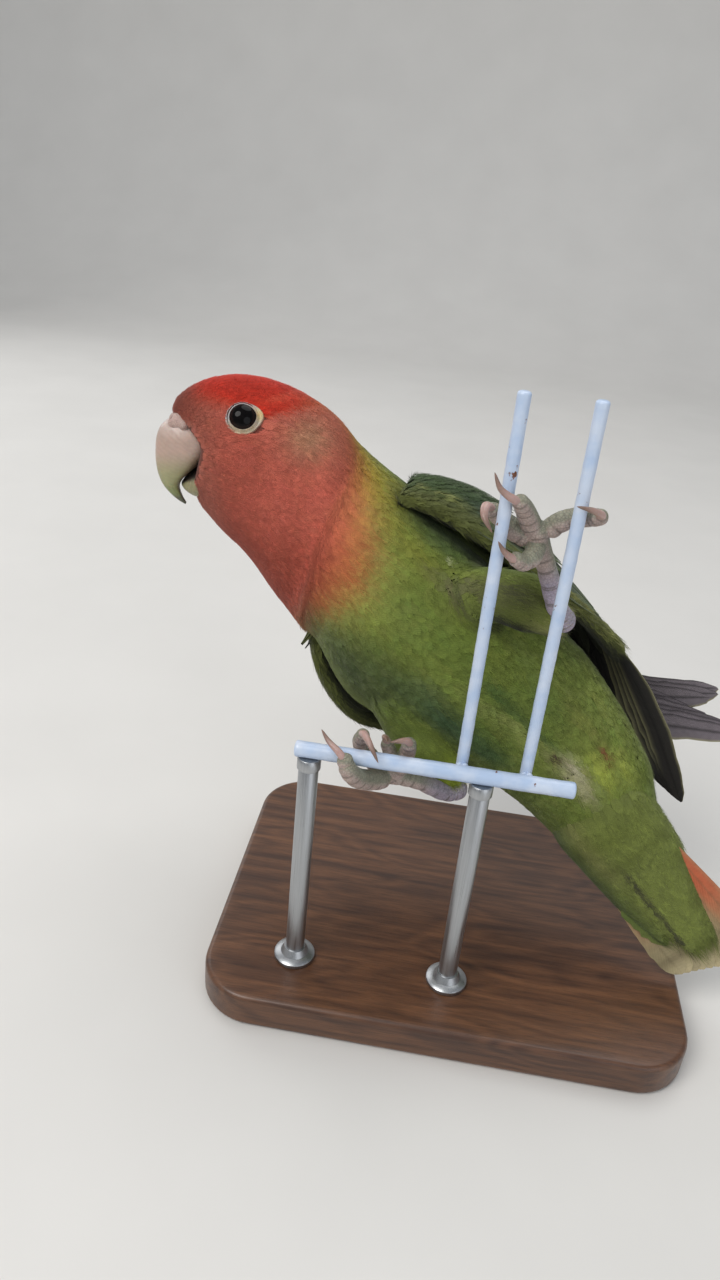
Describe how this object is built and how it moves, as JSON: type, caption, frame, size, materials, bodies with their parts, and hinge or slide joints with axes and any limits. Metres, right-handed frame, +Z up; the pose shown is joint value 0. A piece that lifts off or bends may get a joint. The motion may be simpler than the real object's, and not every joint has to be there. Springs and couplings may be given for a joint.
{
  "type": "peach-faced lovebird",
  "caption": "Life-size still model of a small parrot with a peach-red face and green body, clinging to a cut length of wire on a plain stand.",
  "frame": {"origin": "middle of the stand base's underside, on the floor", "axes": "+Z up; +X to the right along the perch's cross wire, from the bird's head towards its tail; +Y away from the wires, to the bird's back"},
  "size_m": [0.1379, 0.078, 0.134],
  "materials": {
    "plumage_head": "soft, fine feathers, deep red crown to salmon cheek",
    "plumage_body": "soft contour feathers, salmon breast edge to yellow-green",
    "plumage_wing": "firm vanes, green coverts, blue-black flight feathers",
    "plumage_tail": "firm vanes, green with orange-red and yellow edges",
    "beak": "pale horn, satin",
    "eye": "wet gloss, black",
    "leg_skin": "grey-pink scaly skin",
    "claw": "pinkish horn, satin",
    "perch_wire": "pale blue-white paint",
    "stand_wood": "dark stained, satin",
    "stand_steel": "brushed"
  },
  "bodies": {
    "root": {"head": "plumage_head", "neck": "plumage_head", "torso": "plumage_body", "thigh_left": "plumage_body", "thigh_right": "plumage_body", "wing_left": "plumage_wing", "wing_right": "plumage_wing", "tail": "plumage_tail", "beak_upper": "beak", "beak_lower": "beak", "eye_left": "eye", "eye_right": "eye", "tarsus_left": "leg_skin", "tarsus_right": "leg_skin", "perch_cross_wire": "perch_wire", "perch_upright_left": "perch_wire", "perch_upright_right": "perch_wire", "stand_base": "stand_wood", "stand_rod_left": "stand_steel", "stand_rod_right": "stand_steel", "toe_left_1": "leg_skin", "claw_left_1": "claw", "toe_left_2": "leg_skin", "claw_left_2": "claw", "toe_left_3": "leg_skin", "claw_left_3": "claw", "toe_left_4": "leg_skin", "claw_left_4": "claw", "toe_right_1": "leg_skin", "claw_right_1": "claw", "toe_right_2": "leg_skin", "claw_right_2": "claw", "toe_right_3": "leg_skin", "claw_right_3": "claw", "toe_right_4": "leg_skin", "claw_right_4": "claw"}
  },
  "joints": []
}
